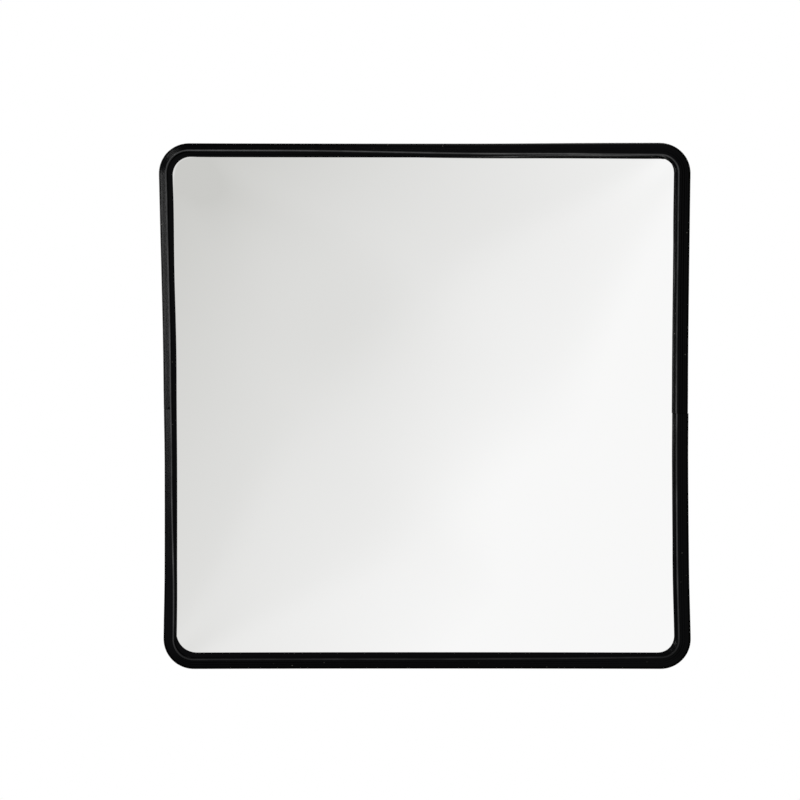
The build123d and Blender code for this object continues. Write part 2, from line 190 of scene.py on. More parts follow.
@dataclass(frozen=True)
class ExtrudedRubber:
    """EPDM rubber, extruded and cut to length. Near black with a low oily sheen, die lines
    along its length, a painted highlight of dull grey along the bead, patchy and weaker towards the bottom
    edge, and a few specks of pale dust."""

    slot: str = "trim_rubber"
    black: str = "#020203"
    painted_highlight: str = "#4a4a4b"
    dust: str = "#8a8780"
    bead_mm: float = 12.05
    bead_half_mm: float = 1.1
    specular: float = 0.04
    die_line_mm: float = 0.35
    dust_spacing_mm: float = 9.0

    def build(self) -> bpy.types.Material:
        """Makes the material."""
        material, tree, shader = new_material("extruded_epdm_rubber")
        place = add_node(tree, "ShaderNodeTexCoord")
        uv = place.outputs["UV"]
        # U is the length and V the way round the section, both in metres: stretched noise
        # leaves lines that run along the length, one die line wide.
        stretch = add_node(tree, "ShaderNodeMapping", {"Scale": (8.0, 1 / (self.die_line_mm * MM), 1.0)},
                           {"Vector": uv})
        lines = add_node(tree, "ShaderNodeTexNoise", {"Scale": 1.0, "Detail": 3.0, "Roughness": 0.6},
                         {"Vector": stretch.outputs["Vector"]})
        bloom = add_node(tree, "ShaderNodeTexNoise", {"Scale": 35.0, "Detail": 3.0},
                         {"Vector": place.outputs["Object"]})
        grain = add_node(tree, "ShaderNodeTexNoise", {"Scale": 900.0, "Detail": 3.0},
                         {"Vector": place.outputs["Object"]})
        specks = add_node(tree, "ShaderNodeTexVoronoi", {"Scale": 1 / (self.dust_spacing_mm * MM)},
                          {"Vector": place.outputs["Object"]})
        speck_mask = add_node(tree, "ShaderNodeMapRange",
                              {"From Min": 0.055, "From Max": 0.03, "To Min": 0.0, "To Max": 0.35},
                              {"Value": specks.outputs["Distance"]})
        parts = add_node(tree, "ShaderNodeSeparateXYZ", links={"Vector": uv})
        # Painted highlight: a dull grey band over the black where the bead is, standing in for light caught
        # along its ridge.
        from_bead = add_node(tree, "ShaderNodeMath", {"operation": "SUBTRACT", 1: self.bead_mm * MM},
                             {0: parts.outputs["Y"]})
        apart = add_node(tree, "ShaderNodeMath", {"operation": "ABSOLUTE"}, {0: from_bead.outputs[0]})
        bead_highlight_band = add_node(tree, "ShaderNodeMapRange",
                        {"interpolation_type": "SMOOTHSTEP", "From Min": self.bead_half_mm * MM,
                         "From Max": 0.0, "To Min": 0.0, "To Max": 1.0}, {"Value": apart.outputs[0]})
        # Painted highlight on the bead: fades to under a third along the bottom edge and is patchy at
        # random.
        spot = add_node(tree, "ShaderNodeSeparateXYZ", links={"Vector": place.outputs["Object"]})
        highlight_lower_fade = add_node(tree, "ShaderNodeMapRange",
                          {"From Min": -0.212, "From Max": -0.16, "To Min": 0.3, "To Max": 1.0},
                          {"Value": spot.outputs["Z"]})
        highlight_patches = add_node(tree, "ShaderNodeMapRange",
                           {"From Min": 0.35, "From Max": 0.65, "To Min": 0.5, "To Max": 1.0},
                           {"Value": bloom.outputs["Fac"]})
        highlight_strength = add_node(tree, "ShaderNodeMath", {"operation": "MULTIPLY"},
                        {0: highlight_patches.outputs["Result"], 1: highlight_lower_fade.outputs["Result"]})
        painted_highlight_mask = add_node(tree, "ShaderNodeMath", {"operation": "MULTIPLY"},
                        {0: bead_highlight_band.outputs["Result"], 1: highlight_strength.outputs[0]})
        ground = add_node(tree, "ShaderNodeMix",
                          {"data_type": "RGBA", 6: srgb(self.black), 7: srgb(self.painted_highlight)},
                          {0: painted_highlight_mask.outputs[0]})
        colour = add_node(tree, "ShaderNodeMix", {"data_type": "RGBA", 7: srgb(self.dust)},
                          {0: speck_mask.outputs["Result"], 6: ground.outputs[2]})
        sheen = add_node(tree, "ShaderNodeMapRange",
                         {"From Min": 0.3, "From Max": 0.7, "To Min": 0.2, "To Max": 0.28},
                         {"Value": bloom.outputs["Fac"]})
        tree.links.new(colour.outputs[2], shader.inputs["Base Color"])
        tree.links.new(sheen.outputs["Result"], shader.inputs["Roughness"])
        shader.inputs["Specular IOR Level"].default_value = self.specular
        low = add_node(tree, "ShaderNodeBump", {"Strength": 0.25, "Distance": 0.0001},
                       {"Height": lines.outputs["Fac"]})
        high = add_node(tree, "ShaderNodeBump", {"Strength": 0.2, "Distance": 0.0001},
                        {"Height": grain.outputs["Fac"], "Normal": low.outputs["Normal"]})
        tree.links.new(high.outputs["Normal"], shader.inputs["Normal"])
        return material


@dataclass(frozen=True)
class PowderCoat:
    """Polyester powder coat, satin black, baked on steel or zinc. Even colour with the soft
    ripple of orange peel and slightly thinner, glossier ridges."""

    slot: str
    black: str = "#141415"
    peel_mm: float = 1.6
    roughness: float = 0.42

    def build(self) -> bpy.types.Material:
        """Makes the material."""
        material, tree, shader = new_material(f"satin_powder_coat_{self.slot}")
        place = add_node(tree, "ShaderNodeTexCoord")
        peel = add_node(tree, "ShaderNodeTexNoise", {"Scale": 1 / (self.peel_mm * MM), "Detail": 1.5},
                        {"Vector": place.outputs["Object"]})
        fine = add_node(tree, "ShaderNodeTexNoise", {"Scale": 2600.0, "Detail": 2.0},
                        {"Vector": place.outputs["Object"]})
        cloud = add_node(tree, "ShaderNodeTexNoise", {"Scale": 60.0, "Detail": 4.0},
                         {"Vector": place.outputs["Object"]})
        shade = add_node(tree, "ShaderNodeMapRange",
                         {"From Min": 0.3, "From Max": 0.7, "To Min": self.roughness - 0.05,
                          "To Max": self.roughness + 0.06}, {"Value": cloud.outputs["Fac"]})
        low = add_node(tree, "ShaderNodeBump", {"Strength": 0.22, "Distance": 0.0002},
                       {"Height": peel.outputs["Fac"]})
        high = add_node(tree, "ShaderNodeBump", {"Strength": 0.12, "Distance": 0.0001},
                        {"Height": fine.outputs["Fac"], "Normal": low.outputs["Normal"]})
        shader.inputs["Base Color"].default_value = srgb(self.black)
        tree.links.new(shade.outputs["Result"], shader.inputs["Roughness"])
        tree.links.new(high.outputs["Normal"], shader.inputs["Normal"])
        return material


@dataclass(frozen=True)
class PlatedSteel:
    """Turned or stamped steel with a thin plate. Bright and bluish for zinc, dark for black
    oxide, with fine tool marks and cloudy patches in the gloss."""

    slot: str
    name: str
    light: str
    dark: str
    roughness: float
    mark_mm: float = 0.25

    def build(self) -> bpy.types.Material:
        """Makes the material."""
        material, tree, shader = new_material(self.name)
        place = add_node(tree, "ShaderNodeTexCoord")
        cloud = add_node(tree, "ShaderNodeTexNoise", {"Scale": 160.0, "Detail": 5.0, "Roughness": 0.6},
                         {"Vector": place.outputs["Object"]})
        marks = add_node(tree, "ShaderNodeTexNoise", {"Scale": 1 / (self.mark_mm * MM), "Detail": 2.0},
                         {"Vector": place.outputs["Object"]})
        colour = add_node(tree, "ShaderNodeValToRGB", links={"Fac": cloud.outputs["Fac"]},
                          ramp=[(0.35, srgb(self.dark)), (0.62, srgb(self.light))])
        gloss = add_node(tree, "ShaderNodeMapRange",
                         {"From Min": 0.3, "From Max": 0.7, "To Min": self.roughness - 0.07,
                          "To Max": self.roughness + 0.08}, {"Value": cloud.outputs["Fac"]})
        bump = add_node(tree, "ShaderNodeBump", {"Strength": 0.15, "Distance": 0.00005},
                        {"Height": marks.outputs["Fac"]})
        shader.inputs["Metallic"].default_value = 1.0
        tree.links.new(colour.outputs["Color"], shader.inputs["Base Color"])
        tree.links.new(gloss.outputs["Result"], shader.inputs["Roughness"])
        tree.links.new(bump.outputs["Normal"], shader.inputs["Normal"])
        return material


@dataclass(frozen=True)
class NaturalNylon:
    """Nylon 6, moulded and left its own milky colour. Waxy, slightly see-through."""

    slot: str = "nylon"
    milk: str = "#dedbcd"

    def build(self) -> bpy.types.Material:
        """Makes the material."""
        material, tree, shader = new_material("moulded_natural_nylon")
        place = add_node(tree, "ShaderNodeTexCoord")
        cloud = add_node(tree, "ShaderNodeTexNoise", {"Scale": 220.0, "Detail": 2.0},
                         {"Vector": place.outputs["Object"]})
        sheen = add_node(tree, "ShaderNodeMapRange", {"To Min": 0.34, "To Max": 0.5},
                         {"Value": cloud.outputs["Fac"]})
        shader.inputs["Base Color"].default_value = srgb(self.milk)
        shader.inputs["Subsurface Weight"].default_value = 0.15
        shader.inputs["Subsurface Radius"].default_value = (0.002, 0.0018, 0.0014)
        tree.links.new(sheen.outputs["Result"], shader.inputs["Roughness"])
        return material


@dataclass(frozen=True)
class TemperedHardboard:
    """Hardboard, hot-pressed from wood fibre and oil-tempered. Dark brown with short pale and
    dark fibres in a felted surface and a low sheen."""

    slot: str = "hardboard"
    light: str = "#684a33"
    dark: str = "#5f4430"
    fibre: str = "#8a6747"
    fibre_mm: float = 0.35

    def build(self) -> bpy.types.Material:
        """Makes the material."""
        material, tree, shader = new_material("tempered_hardboard")
        place = add_node(tree, "ShaderNodeTexCoord")
        spot = place.outputs["Object"]
        cloud = add_node(tree, "ShaderNodeTexNoise", {"Scale": 45.0, "Detail": 7.0, "Roughness": 0.75},
                         {"Vector": spot})
        felt = add_node(tree, "ShaderNodeTexNoise",
                        {"Scale": 1 / (self.fibre_mm * MM), "Detail": 4.0, "Distortion": 2.5},
                        {"Vector": spot})
        ground = add_node(tree, "ShaderNodeValToRGB", links={"Fac": cloud.outputs["Fac"]},
                          ramp=[(0.32, srgb(self.dark)), (0.68, srgb(self.light))])
        fleck = add_node(tree, "ShaderNodeMapRange",
                         {"From Min": 0.56, "From Max": 0.72, "To Min": 0.0, "To Max": 0.4},
                         {"Value": felt.outputs["Fac"]})
        colour = add_node(tree, "ShaderNodeMix", {"data_type": "RGBA", 7: srgb(self.fibre)},
                          {0: fleck.outputs["Result"], 6: ground.outputs["Color"]})
        sheen = add_node(tree, "ShaderNodeMapRange", {"To Min": 0.5, "To Max": 0.68},
                         {"Value": felt.outputs["Fac"]})
        bump = add_node(tree, "ShaderNodeBump", {"Strength": 0.35, "Distance": 0.0002},
                        {"Height": felt.outputs["Fac"]})
        tree.links.new(colour.outputs[2], shader.inputs["Base Color"])
        tree.links.new(sheen.outputs["Result"], shader.inputs["Roughness"])
        tree.links.new(bump.outputs["Normal"], shader.inputs["Normal"])
        return material


Finish = SilveredAcrylic | ExtrudedRubber | PowderCoat | PlatedSteel | NaturalNylon | TemperedHardboard


@dataclass
class Paintbox:
    """Every finish of the mirror, by the record's material slot."""

    made: dict[str, bpy.types.Material] = field(default_factory=dict)

    def fill(self) -> None:
        """Makes one material for each slot."""
        finishes: list[Finish] = [
            SilveredAcrylic(), ExtrudedRubber(), NaturalNylon(), TemperedHardboard(),
            PowderCoat("bracket_paint"), PowderCoat("arm_paint"),
            PowderCoat("socket_paint", "#161617", 2.2, 0.46),
            PlatedSteel("zinc", "bright_zinc_plate", "#c9cdd2", "#a3a9b0", 0.3),
            PlatedSteel("stiffener_steel", "zinc_plated_sheet", "#b9bdc2", "#8f959c", 0.38),
            PlatedSteel("ball_steel", "polished_turned_steel", "#cfcfcd", "#b5b5b2", 0.16),
            PlatedSteel("black_oxide", "black_oxide_on_steel", "#34363a", "#1f2023", 0.36),
        ]
        for finish in finishes:
            self.made[finish.slot] = finish.build()

    def dress_frame(self, frame: dict[str, Any]) -> None:
        """Gives each node of the frame the material of its slot.
        """
        for part in frame["record"]["subparts"]:
            slots = frame["nodes"][part["node"]].data.materials
            slots.clear()
            slots.append(self.made[part["material_slot"]])


# ------------------------------------------------------------------ meshes
@dataclass
class Shell:
    """A closed surface put together from grids of points and flat caps."""

    points: list[np.ndarray] = field(default_factory=list)
    faces: list[np.ndarray] = field(default_factory=list)
    uvs: list[np.ndarray] = field(default_factory=list)
    count: int = 0

    def grid(self, net: np.ndarray, wrap: bool = False, uv: np.ndarray | None = None) -> "Shell":
        """Adds a net of quads.

        The corner in row i and column j is number i times the columns plus j, and a face
        joins it to its three neighbours above and to the right.

        Args:
            net: points, rows by columns by three.
            wrap: joins the last column to the first.
            uv: pattern coordinates, rows by columns by two, with no wrap.

        Returns:
            The shell.
        """
        rows, columns = net.shape[:2]
        i, j = np.meshgrid(np.arange(rows - 1), np.arange(columns if wrap else columns - 1), indexing="ij")
        k = (j + 1) % columns
        here, above = i * columns, (i + 1) * columns
        quads = np.stack([here + j, here + k, above + k, above + j], -1)
        self._add(net.reshape(-1, 3), quads.reshape(-1, 4), uv)
        return self

    def cap(self, loop: np.ndarray) -> "Shell":
        """Closes a convex flat loop with a fan of triangles about its middle.

        Args:
            loop: points in order, one by three each.

        Returns:
            The shell.
        """
        count = len(loop)
        hub = loop.mean(axis=0, keepdims=True)
        ring = np.arange(count)
        fans = np.stack([ring, (ring + 1) % count, np.full(count, count), np.full(count, count)], -1)
        self._add(np.concatenate([loop, hub]), fans, None)
        return self

    def _add(self, points: np.ndarray, faces: np.ndarray, uv: np.ndarray | None) -> None:
        """Keeps the points and faces of one patch."""
        self.points.append(points)
        self.faces.append(faces + self.count)
        self.uvs.append(np.zeros((len(points), 2)) if uv is None else uv.reshape(-1, 2))
        self.count += len(points)

    def to_object(
        self,
        name: str,
        body: Body,
        slot: str,
        paints: Paintbox,
        sharp_degrees: float = 35.0,
    ) -> bpy.types.Object:
        """Makes the mesh object, in the frame's coordinates, and hangs it on its body.

        Args:
            name: the object's name.
            body: the rigid body it moves with.
            slot: the record's material slot.
            paints: the finishes.
            sharp_degrees: edges that turn by more than this stay sharp.

        Returns:
            The object.
        """
        place = np.concatenate(self.points) * MM
        place = np.stack([place[:, 0], -place[:, 2], place[:, 1]], -1)
        pattern = np.concatenate(self.uvs)
        mesh = bpy.data.meshes.new(name)
        faces = [self._corners(face) for face in np.concatenate(self.faces).tolist()]
        mesh.from_pydata(place.tolist(), [], faces)
        layer = mesh.uv_layers.new(name="pattern")
        corners = np.zeros(len(mesh.loops), np.int32)
        mesh.loops.foreach_get("vertex_index", corners)
        layer.data.foreach_set("uv", pattern[corners].astype(np.float32).ravel())
        built = bmesh.new()
        built.from_mesh(mesh)
        bmesh.ops.remove_doubles(built, verts=built.verts, dist=1e-6)
        bmesh.ops.dissolve_degenerate(built, edges=built.edges, dist=1e-7)
        bmesh.ops.recalc_face_normals(built, faces=built.faces)
        open_edges = sum(1 for e in built.edges if len(e.link_faces) != 2)
        built.to_mesh(mesh)
        built.free()
        mesh.shade_smooth()
        mesh.set_sharp_from_angle(angle=math.radians(sharp_degrees))
        mesh.materials.append(paints.made[slot])
        made = bpy.data.objects.new(name, mesh)
        bpy.context.scene.collection.objects.link(made)
        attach(made, body.value)
        LOG.info("%s: %d faces, %d open edges, on %s", name, len(mesh.polygons), open_edges, body.value)
        return made

    @staticmethod
    def _corners(face: list[int]) -> list[int]:
        """A face's corners without repeats, so that a fan's faces are triangles."""
        return face[:3] if face[2] == face[3] else face


def smooth_step(low: float, high: float, value: np.ndarray) -> np.ndarray:
    """Rises from 0 at low to 1 at high, level at both ends.

    Args:
        low: where it leaves 0.
        high: where it reaches 1.
        value: where to read it.

    Returns:
        Three times the square less twice the cube of the way along.
    """
    way = np.clip((value - low) / (high - low), 0, 1)
    return way * way * (3 - 2 * way)


def spread(stops: list[tuple[float, ...]], pieces: int) -> np.ndarray:
    """Fills in points between the corners of a section with a smooth curve.

    Each span is a cubic whose slope at a corner is half the step from the corner before to
    the corner after, so the curve passes through every corner.

    Args:
        stops: the corners.
        pieces: how many steps each span is cut into.

    Returns:
        The points in order, the last corner included.
    """
    corner = np.array(stops, float)
    ahead = np.vstack([2 * corner[0] - corner[1], corner, 2 * corner[-1] - corner[-2]])
    p0, p1, p2, p3 = ahead[:-3], ahead[1:-2], ahead[2:-1], ahead[3:]
    t = (np.arange(pieces) / pieces)[None, :, None]
    p0, p1, p2, p3 = (p[:, None, :] for p in (p0, p1, p2, p3))
    curve = 0.5 * (2 * p1 + (p2 - p0) * t + (2 * p0 - 5 * p1 + 4 * p2 - p3) * t**2
                   + (3 * p1 - p0 - 3 * p2 + p3) * t**3)
    return np.vstack([curve.reshape(-1, corner.shape[1]), corner[-1:]])


# ------------------------------------------------------------------ mirror panel
@dataclass
class PanelShape:
    """The outline that lens, back panel and trim share, and the dome over it.

    The sides draw in at their middles by the waist, as a parabola. A corner is an arc."""

    half_width: float = 227.0
    half_height: float = 225.1
    waist_side: float = 2.2
    waist_top: float = 0.4
    corner: float = 26.7
    rim_z: float = 209.2
    lens: float = 3.0
    dome_inset: float = 11.3
    dome_rise: float = 42.0
    dome_corner: float = 18.0

    def outline(self, inset: float, per_side: int, per_corner: int) -> np.ndarray:
        """Points round the outline from the middle of the right side, anticlockwise.

        Args:
            inset: how far inside the outer edge.
            per_side: points on each straight half side.
            per_corner: points round each corner.

        Returns:
            One closed loop, x and y, without the first point repeated.
        """
        x_reach, y_reach, radius = self.half_width - inset, self.half_height - inset, self.corner - inset
        turn = np.linspace(0, math.pi / 2, per_corner + 1)[1:-1]
        along = np.linspace(0, y_reach - radius, per_side)
        across = np.linspace(x_reach - radius, 0, per_side)
        x = np.concatenate([np.full(per_side, x_reach), x_reach - radius + radius * np.cos(turn), across])
        y = np.concatenate([along, y_reach - radius + radius * np.sin(turn), np.full(per_side, y_reach)])
        quarter_x = x - self.waist_side * (x / x_reach) ** 8 * (1 - (y / y_reach) ** 2)
        quarter_y = y - self.waist_top * (y / y_reach) ** 8 * (1 - (x / x_reach) ** 2)
        first = np.stack([quarter_x, quarter_y], -1)
        second = (first * (-1, 1))[::-1][1:]
        upper = np.concatenate([first, second])
        return np.concatenate([upper, (upper * (1, -1))[::-1][1:-1]])

    def dome(self, x: np.ndarray, y: np.ndarray) -> np.ndarray:
        """Height of the dome over its rim: its rise times one less the square of the level.

        A level line is a superellipse whose power grows with the sixth power of the level,
        from a circle at the crown to the rounded outline at the foot. The level is found by
        halving.

        Args:
            x: how far to the right.
            y: how far up.

        Returns:
            The height, below zero outside the foot.
        """
        x_reach, y_reach = self.half_width - self.dome_inset, self.half_height - self.dome_inset
        u = np.abs(x) / (x_reach - self.waist_side * (1 - (y / y_reach) ** 2))
        v = np.abs(y) / (y_reach - self.waist_top * (1 - (x / x_reach) ** 2))
        roundness = self.dome_corner / x_reach * (1 - math.sqrt(0.5))
        foot_power = math.log(2) / -math.log(1 - roundness)
        larger, smaller = np.maximum(np.maximum(u, v), 1e-9), np.minimum(u, v)
        low, high = np.zeros_like(u), np.full_like(u, 2.0)
        for _ in range(34):
            level = (low + high) / 2
            power = 2 + (foot_power - 2) * np.minimum(level, 1) ** 6
            norm = larger * (1 + (smaller / larger) ** power) ** (1 / power)
            below = norm < level
            high, low = np.where(below, level, high), np.where(below, low, level)
        return self.dome_rise * (1 - level**2)

    def rise(self, flat: np.ndarray) -> np.ndarray:
        """Height of the lens over its rim, which is the dome's height or nothing outside it."""
        return np.maximum(self.dome(flat[..., 0], flat[..., 1]), 0)


@dataclass
class MirrorPanel:
    """Lens, back panel and rubber edging."""

    paints: Paintbox
    shape: PanelShape = field(default_factory=PanelShape)
    trim_wall: float = 3.2
    panel_z: float = 206.0
    bead_z: float = 216.1
    crown_from: float = 212.9
    crown_left: float = 0.62
    crown_right: float = 1.0
    crown_top: float = 0.84
    crown_bottom: float = 0.9
    bead_at: float = 9.2
    lip_reach: float = 13.6
    rear_reach: float = 11.0
    seam_left: float = -1.7
    seam_right: float = -5.2
    seam_round: float = 0.22
    rib_pitch: float = 1.7
    nick_depth: float = 0.7

    def build(self) -> None:
        """Makes every piece of the panel."""
        self.build_lens()
        self.build_back()
        for half in Half:
            self.build_trim(half)

    def build_lens(self) -> bpy.types.Object:
        """Makes the domed lens, a skin of even thickness measured along z with a flat rim.

        Rings of the outline run in to the middle, close together where the dome turns up."""
        foot = (self.shape.half_width - self.shape.dome_inset) / (self.shape.half_width - self.trim_wall)
        levels = np.concatenate([[0.0], np.linspace(0.012, 0.9, 96), np.linspace(0.9, foot, 24)[1:],
                                 np.linspace(foot, 1.0, 8)[1:]])
        flat = levels[:, None, None] * self.shape.outline(self.trim_wall, 44, 22)[None]
        lift = self.shape.rise(flat)
        front = np.concatenate([flat, (self.shape.rim_z + self.shape.lens + lift)[..., None]], -1)
        back = front - (0, 0, self.shape.lens)
        edge = np.stack([front[-1], back[-1]])
        shell = Shell().grid(front, wrap=True).grid(back, wrap=True).grid(edge, wrap=True)
        lens = shell.to_object("mirror_dome", Body.HEAD, "mirror_acrylic", self.paints)
        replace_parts(lens, "mirror_lens")
        return lens

    def build_back(self) -> bpy.types.Object:
        """Makes the back panel, a slab whose edges are broken by a small round."""
        top, bottom, wall = self.shape.rim_z, self.panel_z, self.trim_wall
        loops = [(wall + 0.5, top), (wall, top - 0.5), (wall, bottom + 0.5), (wall + 0.5, bottom)]
        rows = []
        for inset, height in loops:
            flat = self.shape.outline(inset, 30, 14)
            rows.append(np.pad(flat, ((0, 0), (0, 1)), constant_values=height))
        net = np.stack(rows)
        shell = Shell().grid(net, wrap=True).cap(net[0]).cap(net[-1])
        board = shell.to_object("back_board", Body.HEAD, "hardboard", self.paints)
        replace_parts(board, "back_panel")
        return board

    def section(self, half: Half) -> tuple[np.ndarray, np.ndarray]:
        """The trim's section: inwards from the outer edge, and out of the wall.

        A round nose, a face that slopes up to a bead, a thin lip with a groove that lies on
        the lens, a groove for the panel and a plainer rear lip. The face carries fine ribs: a
        cosine of the way in, deeper on the upper length.

        Args:
            half: which length.

        Returns:
            The section's points, and for each one two shares, 1 or 0: whether it stretches
            with the front lip, and whether it rolls outwards with the front face.
        """
        face, back, middle = self.shape.rim_z + self.shape.lens, self.panel_z, self.shape.rim_z + 0.1
        nose = spread([(0.0, middle), (0.2, 210.6), (0.8, 211.6), (1.8, 212.4), (2.9, 212.95)], 5)
        slope = spread([(2.9, 212.95), (4.6, 213.85), (6.3, 214.75), (7.8, 215.55),
                        (8.7, self.bead_z - 0.1), (9.2, self.bead_z), (9.7, self.bead_z - 0.12)], 8)
        rib = 0.075 if half is Half.UPPER else 0.035
        fade = smooth_step(2.6, 3.6, slope[:, 0]) * smooth_step(8.8, 8.0, slope[:, 0])
        slope[:, 1] += rib * fade * np.cos(2 * math.pi * slope[:, 0] / self.rib_pitch)
        lip = spread([(9.7, self.bead_z - 0.12), (10.3, 215.1), (10.75, 214.45), (11.2, 214.3),
                      (11.7, 214.28), (12.3, 213.7), (12.9, 213.3), (13.4, 213.0), (13.6, 212.7),
                      (13.35, face + 0.05)], 4)
        under = spread([(13.35, face + 0.05), (11.0, face), (self.trim_wall, face)], 4)
        wall = spread([(self.trim_wall, face), (self.trim_wall, back)], 3)
        rear = spread([(self.trim_wall, back), (7.0, back), (self.rear_reach, back)], 2)
        tail = spread([(self.rear_reach, back), (10.4, back - 1.4), (9.1, back - 2.0), (6.2, back - 1.75),
                       (3.3, back - 0.95), (1.3, 206.3), (0.3, 207.8), (0.0, middle)], 5)
        runs = [nose, slope, lip, under, wall, rear, tail]
        points = np.vstack([run[:-1] for run in runs])
        share = [(float(run is lip or run is under), float(run is nose or run is slope or run is lip))
                 for run in runs]
        return points, np.repeat(share, [len(run) - 1 for run in runs], axis=0)

    def run(self, half: Half) -> tuple[np.ndarray, np.ndarray]:
        """The outer edge of one length, anticlockwise from seam to seam.

        Args:
            half: which length.

        Returns:
            The points, 2 mm apart and closer near the seams, and how far along each one is.
        """
        loop = self.shape.outline(0.0, 400, 160)
        start = len(loop) * (3 if half is Half.UPPER else 1) // 4
        loop = np.roll(loop, -start, axis=0)
        way = np.concatenate([[0], np.cumsum(np.linalg.norm(np.diff(loop, axis=0), axis=1))])
        ends = []
        for side, seam in ((1, self.seam_right), (-1, self.seam_left)):
            on_side = (loop[:, 0] * side > 200) & (np.abs(loop[:, 1]) < 100)
            order = np.argsort(loop[on_side, 1])
            ends.append(np.interp(seam, loop[on_side, 1][order], way[on_side][order]))
        low, high = sorted(ends)
        low, high = low + 0.01 + self.seam_round, high - 0.01 - self.seam_round
        close = np.array([0, 0.15, 0.3, 0.5, 0.7, 0.9, 1.1, 1.4, 1.7, 2.0, 2.5, 3.0, 4.0])
        far = np.linspace(low + 5.5, high - 5.5, 420)
        places = np.concatenate([low + close, far, (high - close)[::-1]])
        return np.stack([np.interp(places, way, loop[:, axis]) for axis in (0, 1)], -1), places - low

    def build_trim(self, half: Half) -> bpy.types.Object:
        """Makes one length of edging: the section carried along its half of the outline.

        Inside the bead the section is stretched to the lip's width there, and it is lifted by
        the height of the dome that it lies on. The bead is as high as the crown of its side,
        as if the edging were rolled a little. The two ends are rounded: one last row stands a
        little further along and is drawn in towards the section's middle.

        Args:
            half: which length.

        Returns:
            The object.
        """
        path, along = self.run(half)
        ahead = np.gradient(path, axis=0)
        ahead /= np.linalg.norm(ahead, axis=1, keepdims=True)
        inward = np.stack([-ahead[:, 1], ahead[:, 0]], -1)
        section, share = self.section(half)
        stretch, rolled = share[:, 0], share[:, 1]
        lip = self.lip_width(path, -inward)
        roll = 1 + (self.roll(path)[:, None] - 1) * rolled[None]
        path = self.lean(path)
        beyond = np.maximum(section[:, 0] - self.bead_at, 0)[None]
        scale = (lip[:, None] - roll * self.bead_at) / (self.lip_reach - self.bead_at)
        offset = roll * (section[None, :, 0] - beyond) + beyond * np.where(stretch > 0, scale, 1.0)
        offset = offset + self.sway(path, half)[:, None]
        flat = path[:, None, :] + offset[..., None] * inward[:, None, :]
        proud = np.maximum(section[:, 1] - self.crown_from, 0)
        height = section[None, :, 1] + proud[None] * (self.crown(-inward)[:, None] - 1)
        height = height + self.shape.rise(flat) * stretch[None]
        height = height - self.nick(path, offset, half) * (section[None, :, 1] > 212.6)
        net = np.concatenate([flat, height[..., None]], -1)
        net = self._round_ends(net, ahead)
        along = np.concatenate([[-self.seam_round], along, [along[-1] + self.seam_round]]) * MM
        ring = np.vstack([section, section[:1]])
        around = np.concatenate([[0], np.cumsum(np.linalg.norm(np.diff(ring, axis=0), axis=1))])[:-1] * MM
        uv = np.stack(np.broadcast_arrays(along[:, None], around[None]), -1)
        shell = Shell().grid(net, wrap=True, uv=uv)
        for end in (net[0], net[-1]):
            self._close_section(shell, end)
        trim = shell.to_object(f"trim_{half.name.lower()}", Body.HEAD, "trim_rubber", self.paints, 50)
        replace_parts(trim, f"edge_trim_{half.name.lower()}")
        return trim

    def crown(self, outward: np.ndarray) -> np.ndarray:
        """Share of the bead's full height: low on the left, where the edging rolls outwards.

        Args:
            outward: unit vectors, one by two each.

        Returns:
            The sides' shares, mixed by the squares of the outward direction's parts.
        """
        x, y = outward[:, 0], outward[:, 1]
        across = np.where(x < 0, self.crown_left, self.crown_right)
        upright = np.where(y > 0, self.crown_top, self.crown_bottom)
        return across * x**2 + upright * y**2

    @staticmethod
    def roll(path: np.ndarray) -> np.ndarray:
        """Share of the bead's full distance from the outer edge: less at the upper left, where
        the edging has rolled outwards and shows more of its lip, and more on the right.

        Args:
            path: the outer edge.

        Returns:
            One share for each point of the path.
        """
        upper_left = smooth_step(60, -120, path[:, 0]) * smooth_step(-190, -60, path[:, 1])
        right = 0.15 * smooth_step(90, 215, path[:, 0]) + 0.07 * smooth_step(0, 120, path[:, 0])
        return 1 - 0.27 * upper_left + right

    def lean(self, path: np.ndarray) -> np.ndarray:
        """Shifts the path sideways, mostly in proportion to its height, as the rubber was pulled
        on. The lower sides draw in by half a millimetre and the top falls in towards the right.

        Args:
            path: the outer edge.

        Returns:
            The shifted path.
        """
        left = smooth_step(-150, -215, path[:, 0])
        shift = -0.8 * path[:, 1] / 190
        shift = shift - 0.5 * left * smooth_step(40, 180, path[:, 1])
        low = smooth_step(20, -50, path[:, 1]) * smooth_step(-200, -140, path[:, 1])
        shift = shift - 0.5 * low * np.sign(path[:, 0]) * smooth_step(150, 215, np.abs(path[:, 0]))
        lift = 0.5 * smooth_step(40, 170, path[:, 0]) * smooth_step(150, 215, path[:, 1])
        return path + np.stack([shift + 0.3 * left * smooth_step(150, 20, path[:, 1]), lift], -1)

